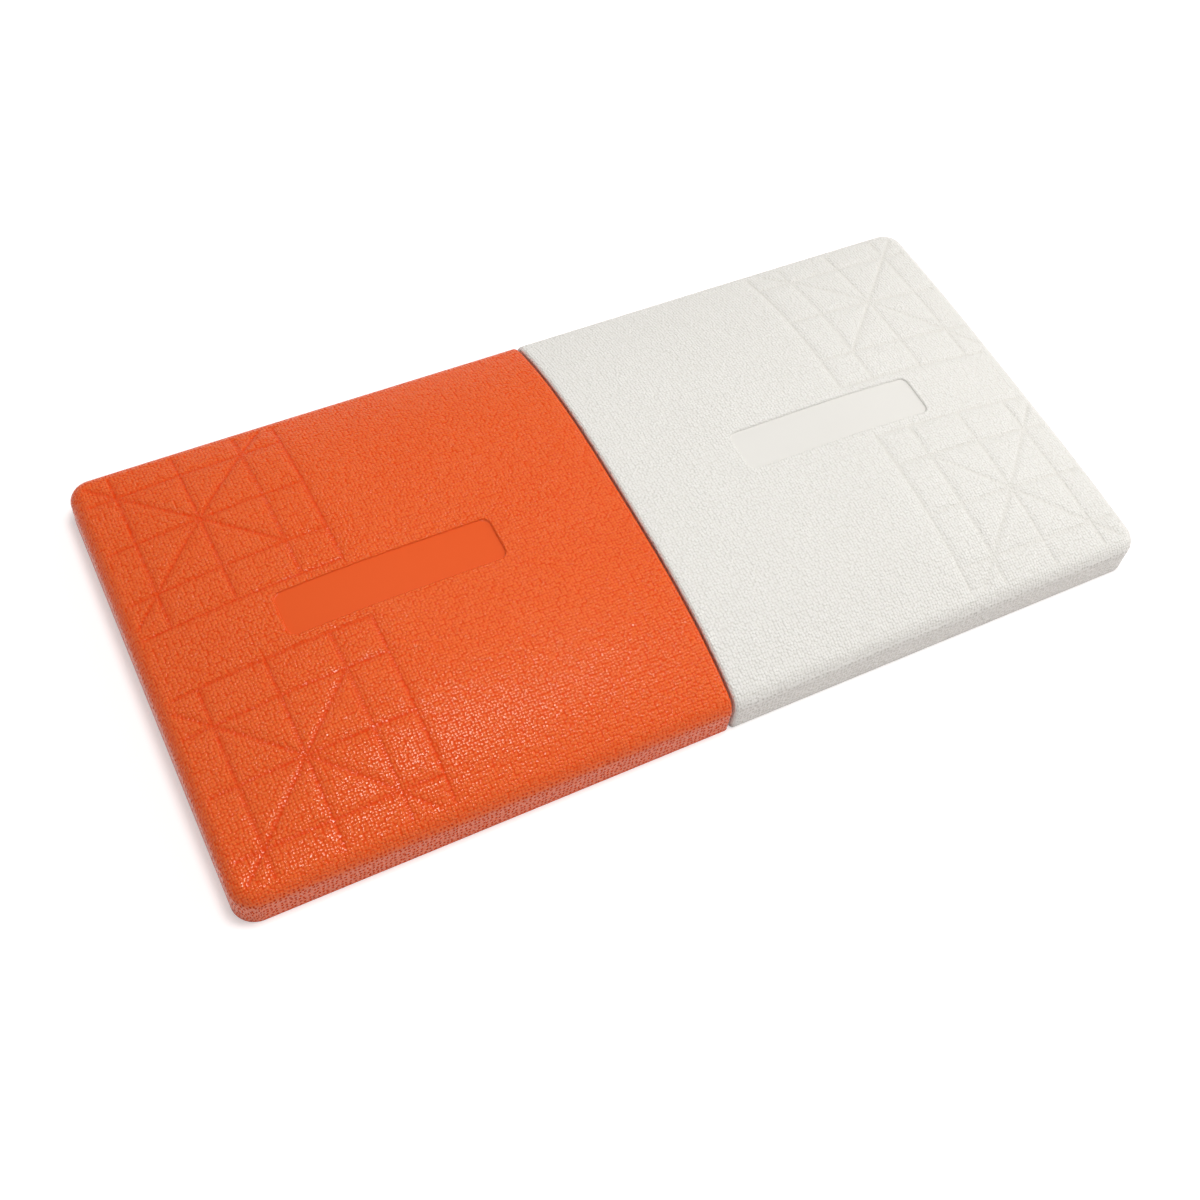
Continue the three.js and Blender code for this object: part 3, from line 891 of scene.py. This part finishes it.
def is_corner(edge, middle, at_outer_end):
    """An upright edge on one side of the middle that stands alone, with no rounding yet"""
    one, other = (v.co for v in edge.verts)
    upright = (one - other).xy.length < SAME_PLACE
    return upright and (one.x > middle) == at_outer_end and edge.calc_face_angle(0) > SHARP_CORNER


# Places of the repeated pieces in one half

def screw_places(cover, plate):
    seam, end, side = seam_face(cover), cover.length / 2, cover.width / 2
    inset, corner = plate.screw_inset, plate.screw_corner
    places = []
    for sign in BOTH_SIDES:
        for along, across in ((inset, corner), (corner, inset)):
            places.append((seam + along, sign * (side - across)))
            places.append((end - along, sign * (side - across)))
    return places


def stem_places(cover, plate):
    reach = plate.stem_spacing / 2
    middle = half_middle(cover)
    return [(middle + end * reach, side * reach) for side in BOTH_SIDES for end in BOTH_SIDES]


def pin_places(pin):
    return [side * pin.spread for side in BOTH_SIDES]


def rods_at(places, radius, bottom, top):
    return [rod("rod", radius, (x, y, bottom), (x, y, top)) for x, y in places]


def pin_bores(cover, pin, radius, depth):
    """Rods along X at the pins' places, from outside the seam face to some depth behind it"""
    bores = []
    for y in pin_places(pin):
        bore = rod("bore", radius, (0, 0, -cover.seam_gap), (0, 0, depth))
        bore.data.transform(Matrix.Translation((seam_face(cover), y, pin.height)) @ PIN_AXIS)
        bores.append(bore)
    return bores


def both_halves(piece, kind, white_dress, orange_dress):
    """The white half's piece and a copy of it turned round for the orange half, each with its finish"""
    twin = copy_of(piece, f"orange_{kind}_piece", HALF_TURN)
    dress(piece, f"white_{kind}", *white_dress)
    dress(twin, f"orange_{kind}", *orange_dress)
    return piece, twin


# Operators

class BASE_OT_covers(Operator):
    """Mould the two rubber covers"""

    bl_idname = "base.covers"
    bl_label = "Rubber Covers"

    def execute(self, context):
        scene = context.scene
        cover, tread, plate, pin = scene.base_cover, scene.base_tread, scene.base_plate, scene.base_pin

        def pressed(x, y):
            return pressed_depth(cover, tread, x, y)

        outer = skin(cover, 0, 0, fine_lines(cover, tread), COVER_ROWS, pressed)
        piece = domed("white_cover_piece", outer)
        lines = coarse_lines(cover, cover.wall, HOLLOW_STEP)
        hollow = domed("hollow", skin(cover, cover.wall, cover.lip_top, lines, HOLLOW_ROWS))
        mouth = slab("mouth", cover, cover.lip_reach, -cover.rim, cover.lip_top + cover.wall)
        recess = slab("recess", cover, cover.rim, -cover.rim, cover.lip_bottom)
        cut(piece, [hollow, mouth, recess])
        hole = plate.screw_radius + pin.fit
        cut(piece, rods_at(screw_places(cover, plate), hole, 0, cover.lip_top + cover.wall))
        cut(piece, pin_bores(cover, pin, pin.collar_radius + pin.collar_fit, cover.wall + BORE_OVERRUN))
        smooth(piece)
        self.mark_surface(piece, cover, tread)
        colours = scene.base_colours
        white = finish_named("white_canvas_rubber", canvas_rubber, colours.white)
        orange = finish_named("orange_canvas_rubber", canvas_rubber, colours.orange)
        both_halves(piece, "cover", (white, "white_rubber"), (orange, "orange_rubber"))
        return {"FINISHED"}

    @staticmethod
    def mark_surface(piece, cover, tread):
        """A map in metres over the top and down the walls, and masks of the panel, the walls and the
        painted shade along the lines
        """
        mesh = piece.data
        count = len(mesh.vertices)
        place = np.empty(count * 3)
        mesh.vertices.foreach_get("co", place)
        x, y, z = place.reshape(-1, 3).T
        normal = np.empty(count * 3)
        mesh.vertex_normals.foreach_get("vector", normal)
        normal = normal.reshape(-1, 3)
        sideways = np.abs(normal[:, :2])
        level = sideways / (sideways.sum(1, keepdims=True) + NEVER_ZERO)
        drop = np.clip(crown(cover, x, y) - z, 0, None)
        spread = np.stack([x, y], 1) + np.sign(normal[:, :2]) * level * drop[:, None]

        corner = np.empty(len(mesh.loops), int)
        mesh.loops.foreach_get("vertex_index", corner)
        while mesh.uv_layers:
            mesh.uv_layers.remove(mesh.uv_layers[0])
        mesh.uv_layers.new(name=SURFACE_MAP).uv.foreach_set("vector", spread[corner].ravel())
        on_top = z > crown(cover, x, y) - 2 * tread.panel_depth
        masks = {
            BARE_MASK: panel_share(cover, tread, x, y) * on_top,
            WALL_MASK: ease((WALL_BEGINS - np.abs(normal[:, 2])) / (WALL_BEGINS - WALL_FULL)),
            # Painted shade along the tread lines, on the top only
            LINE_SHADE_MASK: near_line(cover, tread, x, y, tread.line_shade_width / 2) * on_top,
        }
        for name, mask in masks.items():
            mesh.attributes.new(name, "FLOAT", "POINT").data.foreach_set("value", mask)


class BASE_OT_foam_cores(Operator):
    """Fill the covers with foam"""

    bl_idname = "base.foam_cores"
    bl_label = "Foam Cores"

    def execute(self, context):
        scene = context.scene
        cover, plate, pin = scene.base_cover, scene.base_plate, scene.base_pin
        gap = FOAM_GAP
        depth = cover.wall + gap
        floor = plate.frame_top + gap
        boss_bottom = plate.bottom + plate.thickness + gap
        lines = coarse_lines(cover, depth, FOAM_STEP)
        piece = domed("white_foam_core_piece", skin(cover, depth, floor, lines, FOAM_ROWS))
        boss = slab("boss", cover, cover.lip_reach + BOSS_MARGIN, boss_bottom, floor + cover.wall)
        combine(piece, [boss], "UNION")
        middle, seat = half_middle(cover), plate.seat_side / 2 + gap
        seat_room = block(
            "room", (middle - seat, -seat, 0), (middle + seat, seat, plate.seat_top + gap)
        )
        upstand = pin.upstand_reach + gap
        upstand_room = block(
            "room", (0, -upstand, 0), (pin.upstand_back + gap, upstand, pin.upstand_top + gap)
        )
        nut_top = plate.seat_top + plate.nut_height + 2 * gap
        tip = plate.frame_top + plate.screw_tip + gap
        cut(piece, [seat_room, upstand_room])
        cut(piece, rods_at(stem_places(cover, plate), NUT_ROOM * plate.nut_width, 0, nut_top))
        cut(piece, rods_at(screw_places(cover, plate), plate.screw_radius + gap, 0, tip))
        cut(piece, pin_bores(cover, pin, pin.flange_radius + 2 * gap, pin.sleeve_length + gap))
        smooth(piece)
        foam = (finish_named("open_cell_foam", open_foam, scene.base_colours.foam), "foam")
        for core in both_halves(piece, "foam_core", foam, foam):
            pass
        return {"FINISHED"}


class BASE_OT_plates(Operator):
    """Make the base plates, and finish the frames and seats that stay as they are"""

    bl_idname = "base.plates"
    bl_label = "Base Plates"

    def execute(self, context):
        scene = context.scene
        cover, plate = scene.base_cover, scene.base_plate
        top = plate.bottom + plate.thickness
        piece = slab("white_base_plate_piece", cover, cover.rim + plate.margin, plate.bottom, top)
        cut(piece, rods_at(stem_places(cover, plate), plate.stem_hole, 0, 2 * top))
        gap = SEATING_GAP
        sink = [
            (plate.head_radius + 2 * gap, plate.bottom - gap),
            (plate.screw_radius + gap, top - SINK_LAND),
            (plate.screw_radius + gap, 2 * top),
        ]
        countersink = turned("countersink", sink)
        for x, y in screw_places(cover, plate):
            cut(piece, [copy_of(countersink, "sink", Matrix.Translation((x, y, 0)))])
        remove(countersink)
        soften(piece)
        sheet = finish_named("galvanised_sheet", galvanised_steel, scene.base_colours.galvanised)
        steel = (sheet, "galvanised_steel")
        both_halves(piece, "base_plate", steel, steel)
        paint(["white_clamp_frame", "orange_clamp_frame", "white_stem_seat", "orange_stem_seat"], sheet)
        return {"FINISHED"}


class BASE_OT_fasteners(Operator):
    """Make the plate screws and the stem nuts"""

    bl_idname = "base.fasteners"
    bl_label = "Screws and Nuts"

    def execute(self, context):
        scene = context.scene
        cover, plate = scene.base_cover, scene.base_plate
        zinc = (plated(scene), "zinc_plated_steel")
        for kind, pattern, places in (
            ("plate_screw", self.screw(plate), screw_places(cover, plate)),
            ("stem_nut", self.nut(plate), stem_places(cover, plate)),
        ):
            for number, (x, y) in enumerate(places, 1):
                name = f"{kind}_{number}"
                piece = copy_of(pattern, f"white_{name}_piece", Matrix.Translation((x, y, 0)))
                both_halves(piece, name, zinc, zinc)
            remove(pattern)
        return {"FINISHED"}

    @staticmethod
    def screw(plate):
        """Countersunk screw with a cross recess, point up"""
        head = plate.bottom + SEATING_GAP
        tip = plate.frame_top + plate.screw_tip
        radius = plate.screw_radius
        profile = [
            (plate.head_radius - HEAD_CHAMFER, head),
            (plate.head_radius, head + HEAD_RIM),
            (radius, head + plate.head_radius - radius),
            (radius, tip - radius),
            (radius / 2, tip),
        ]
        piece = turned("screw", profile)
        arm, width = RECESS_ARM * plate.head_radius, plate.recess_width / 2
        low, high = -plate.bottom, head + plate.recess_depth
        cut(piece, [
            block("arm", (-arm, -width, low), (arm, width, high)),
            block("arm", (-width, -arm, low), (width, arm, high)),
        ])
        return smooth(piece)

    @staticmethod
    def nut(plate):
        """Hexagon nut on the stem seat"""
        bottom = plate.seat_top + SEATING_GAP
        top = bottom + plate.nut_height
        half_side = math.pi / 6
        corner = plate.nut_width / 2 / math.cos(half_side)
        piece = rod("nut", corner, (0, 0, bottom), (0, 0, top), sides=6)
        piece.data.transform(Matrix.Rotation(half_side, 4, "Z"))
        cut(piece, [rod("bore", plate.nut_bore, (0, 0, 0), (0, 0, 2 * top))])
        return soften(piece, NUT_SOFTENING)


class BASE_OT_pins(Operator):
    """Make the joining pins and their sleeves"""

    bl_idname = "base.pins"
    bl_label = "Joining Pins and Sleeves"

    def execute(self, context):
        scene = context.scene
        cover, pin = scene.base_cover, scene.base_pin
        joining_pin = self.joining_pin(pin)
        sleeve = self.sleeve(cover, pin)
        zinc = plated(scene)
        nylon = finish_named("matt_nylon", black_nylon, scene.base_colours.nylon)
        for number, y in enumerate(pin_places(pin), 1):
            placing = Matrix.Translation((seam_face(cover), y, pin.height)) @ PIN_AXIS
            name = f"white_joining_pin_{number}"
            dress(copy_of(joining_pin, name + "_piece", placing), name, zinc, "zinc_plated_steel")
            name = f"orange_pin_sleeve_{number}"
            dress(copy_of(sleeve, name + "_piece", HALF_TURN @ placing), name, nylon, "black_nylon")
        remove(joining_pin)
        remove(sleeve)
        paint(["white_pin_nut_1", "white_pin_nut_2"], zinc)
        return {"FINISHED"}

    @staticmethod
    def joining_pin(pin):
        """Pin along Z with the seam face at height 0: chamfered shank, collar and thread of plain rings"""
        profile = [
            (pin.radius - pin.point, -pin.reach),
            (pin.radius, pin.point - pin.reach),
            (pin.radius, 0),
            (pin.collar_radius, 0),
            (pin.collar_radius, pin.collar_depth),
        ]
        crest, root = pin.thread_radius, pin.thread_radius - THREAD_DEPTH
        profile.append((root, pin.collar_depth))
        turns = int((pin.thread_end - pin.collar_depth) / THREAD_PITCH)
        for turn in range(turns):
            height = pin.collar_depth + turn * THREAD_PITCH
            profile.append((crest, height + THREAD_PITCH / 2))
            profile.append((root, height + THREAD_PITCH))
        return soften(turned("joining_pin", profile))

    @staticmethod
    def sleeve(cover, pin):
        """Flanged sleeve along Z with its mouth at height 0"""
        flange = pin.upstand_back + SEATING_GAP - seam_face(cover)
        profile = [
            (pin.collar_radius, 0),
            (pin.collar_radius, flange),
            (pin.flange_radius, flange),
            (pin.flange_radius, flange + pin.flange),
            (pin.collar_radius, flange + pin.flange),
            (pin.collar_radius, pin.sleeve_length),
        ]
        piece = turned("sleeve", profile)
        bore = pin.radius + pin.fit
        cut(piece, [rod("bore", bore, (0, 0, -pin.reach), (0, 0, 2 * pin.sleeve_length))])
        return soften(piece)


# Stage: floor in metres, and the upward parts of a direction between which the room darkens

FLOOR_SIDE = 60
FLOOR_NEAR = 0.9
FLOOR_FAR = 3.0
HORIZON_TOP = 0.08
OVERHEAD = 0.4
SENSOR_WIDTH = 36


class BASE_OT_stage(Operator):
    """Set up the floor, the light and the camera"""

    bl_idname = "base.stage"
    bl_label = "Studio Stage"

    def execute(self, context):
        scene = context.scene
        scene.view_settings.view_transform = "Standard"
        self.floor(scene)
        self.room(scene)
        self.lamps(scene)
        self.camera(scene)
        return {"FINISHED"}

    @staticmethod
    def floor(scene):
        """Matt floor that takes the base's shadow and is lifted to white away from it"""
        clear_selection()
        bpy.ops.mesh.primitive_plane_add(size=FLOOR_SIDE)
        floor = made("studio_floor")
        look = new_finish("studio_floor")
        seen = look.node("ShaderNodeLightPath", {}, {}, "Is Camera Ray")
        for ray in ("Is Glossy Ray", "Is Transmission Ray"):
            seen = look.math("MAXIMUM", seen, look.node("ShaderNodeLightPath", {}, {}, ray))
        matt = look.node("ShaderNodeBsdfDiffuse", {}, {"Color": opaque(scene.base_colours.floor)})
        reach = look.node("ShaderNodeVectorMath", {"operation": "LENGTH"}, {0: look.place()}, "Value")
        near = (FLOOR_NEAR / FLOOR_FAR, scene.base_stage.floor_lift)
        lift = look.ramp(reach * (1 / FLOOR_FAR), near, (1.0, 1.0))
        glow = look.node("ShaderNodeEmission", {}, {"Color": lift, "Strength": seen})
        both = look.node("ShaderNodeAddShader", {}, {0: matt, 1: glow})
        floor.data.materials.append(look.end(both))

    @staticmethod
    def room(scene):
        """White at the horizon, darker overhead"""
        world = bpy.data.worlds.new("studio_room")
        scene.world = world
        look = Finish(world)
        upward = look.node("ShaderNodeTexCoord", {}, {}, "Generated")
        light = look.ramp(look.axis(upward, "Z"), (HORIZON_TOP, 1.0), (OVERHEAD, scene.base_stage.room))
        sky = look.node("ShaderNodeBackground", {}, {"Color": light, "Strength": 1.0})
        look.node("ShaderNodeOutputWorld", {}, {"Surface": sky})

    @staticmethod
    def lamps(scene):
        stage = scene.base_stage
        for name, place, size, power in (
            ("overhead_lamp", (0.3, 0.0, 2.9), 1.0, stage.overhead_power),
            ("side_lamp", (3.4, -0.3, 2.0), 2.8, stage.side_power),
        ):
            clear_selection()
            bpy.ops.object.light_add(type="AREA", location=place)
            lamp = made(name)
            lamp.data.shape = "DISK"
            lamp.data.size = size
            lamp.data.energy = power
            lamp.rotation_euler = (-Vector(place)).to_track_quat("-Z", "Y").to_euler()

    @staticmethod
    def camera(scene):
        stage = scene.base_stage
        azimuth, elevation, roll = stage.azimuth, stage.elevation, stage.roll
        level = math.cos(elevation)
        back = Vector((math.sin(azimuth) * level, -math.cos(azimuth) * level, math.sin(elevation)))
        right = Vector((math.cos(azimuth), math.sin(azimuth), 0))
        up = back.cross(right)
        rolled_right = math.cos(roll) * right + math.sin(roll) * up
        rolled_up = math.cos(roll) * up - math.sin(roll) * right
        clear_selection()
        bpy.ops.object.camera_add()
        camera = made("studio_camera")
        turn = Matrix((rolled_right, rolled_up, back)).transposed().to_4x4()
        target = Vector((stage.target_x, stage.target_y, 0))
        camera.matrix_world = Matrix.Translation(target + back * stage.distance) @ turn
        camera.data.lens = stage.focal
        camera.data.sensor_width = SENSOR_WIDTH
        scene.camera = camera


class BASE_PT_panel(Panel):
    """Steps and settings of the double base"""

    bl_idname = "BASE_PT_panel"
    bl_label = "Double First Base"
    bl_space_type = "VIEW_3D"
    bl_region_type = "UI"
    bl_category = "Base"

    def draw(self, context):
        for step in STEPS:
            self.layout.operator(step.bl_idname)
        for name, group in SETTINGS.items():
            box = self.layout.box()
            box.label(text=group.__doc__)
            for setting in group.__annotations__:
                box.prop(getattr(context.scene, name), setting)


SETTINGS = {
    "base_cover": CoverSizes,
    "base_tread": TreadSizes,
    "base_plate": PlateSizes,
    "base_pin": PinSizes,
    "base_colours": BaseColours,
    "base_stage": StageSettings,
}
STEPS = (
    BASE_OT_covers,
    BASE_OT_foam_cores,
    BASE_OT_plates,
    BASE_OT_fasteners,
    BASE_OT_pins,
    BASE_OT_stage,
)
CLASSES = (*SETTINGS.values(), *STEPS, BASE_PT_panel)


def register():
    for item in CLASSES:
        bpy.utils.register_class(item)
    for name, group in SETTINGS.items():
        setattr(bpy.types.Scene, name, PointerProperty(type=group))


def unregister():
    for name in SETTINGS:
        delattr(bpy.types.Scene, name)
    for item in reversed(CLASSES):
        bpy.utils.unregister_class(item)


def main():
    register()
    bpy.ops.base.covers()
    bpy.ops.base.foam_cores()
    bpy.ops.base.plates()
    bpy.ops.base.fasteners()
    bpy.ops.base.pins()
    bpy.ops.base.stage()


if __name__ == "__main__":
    main()
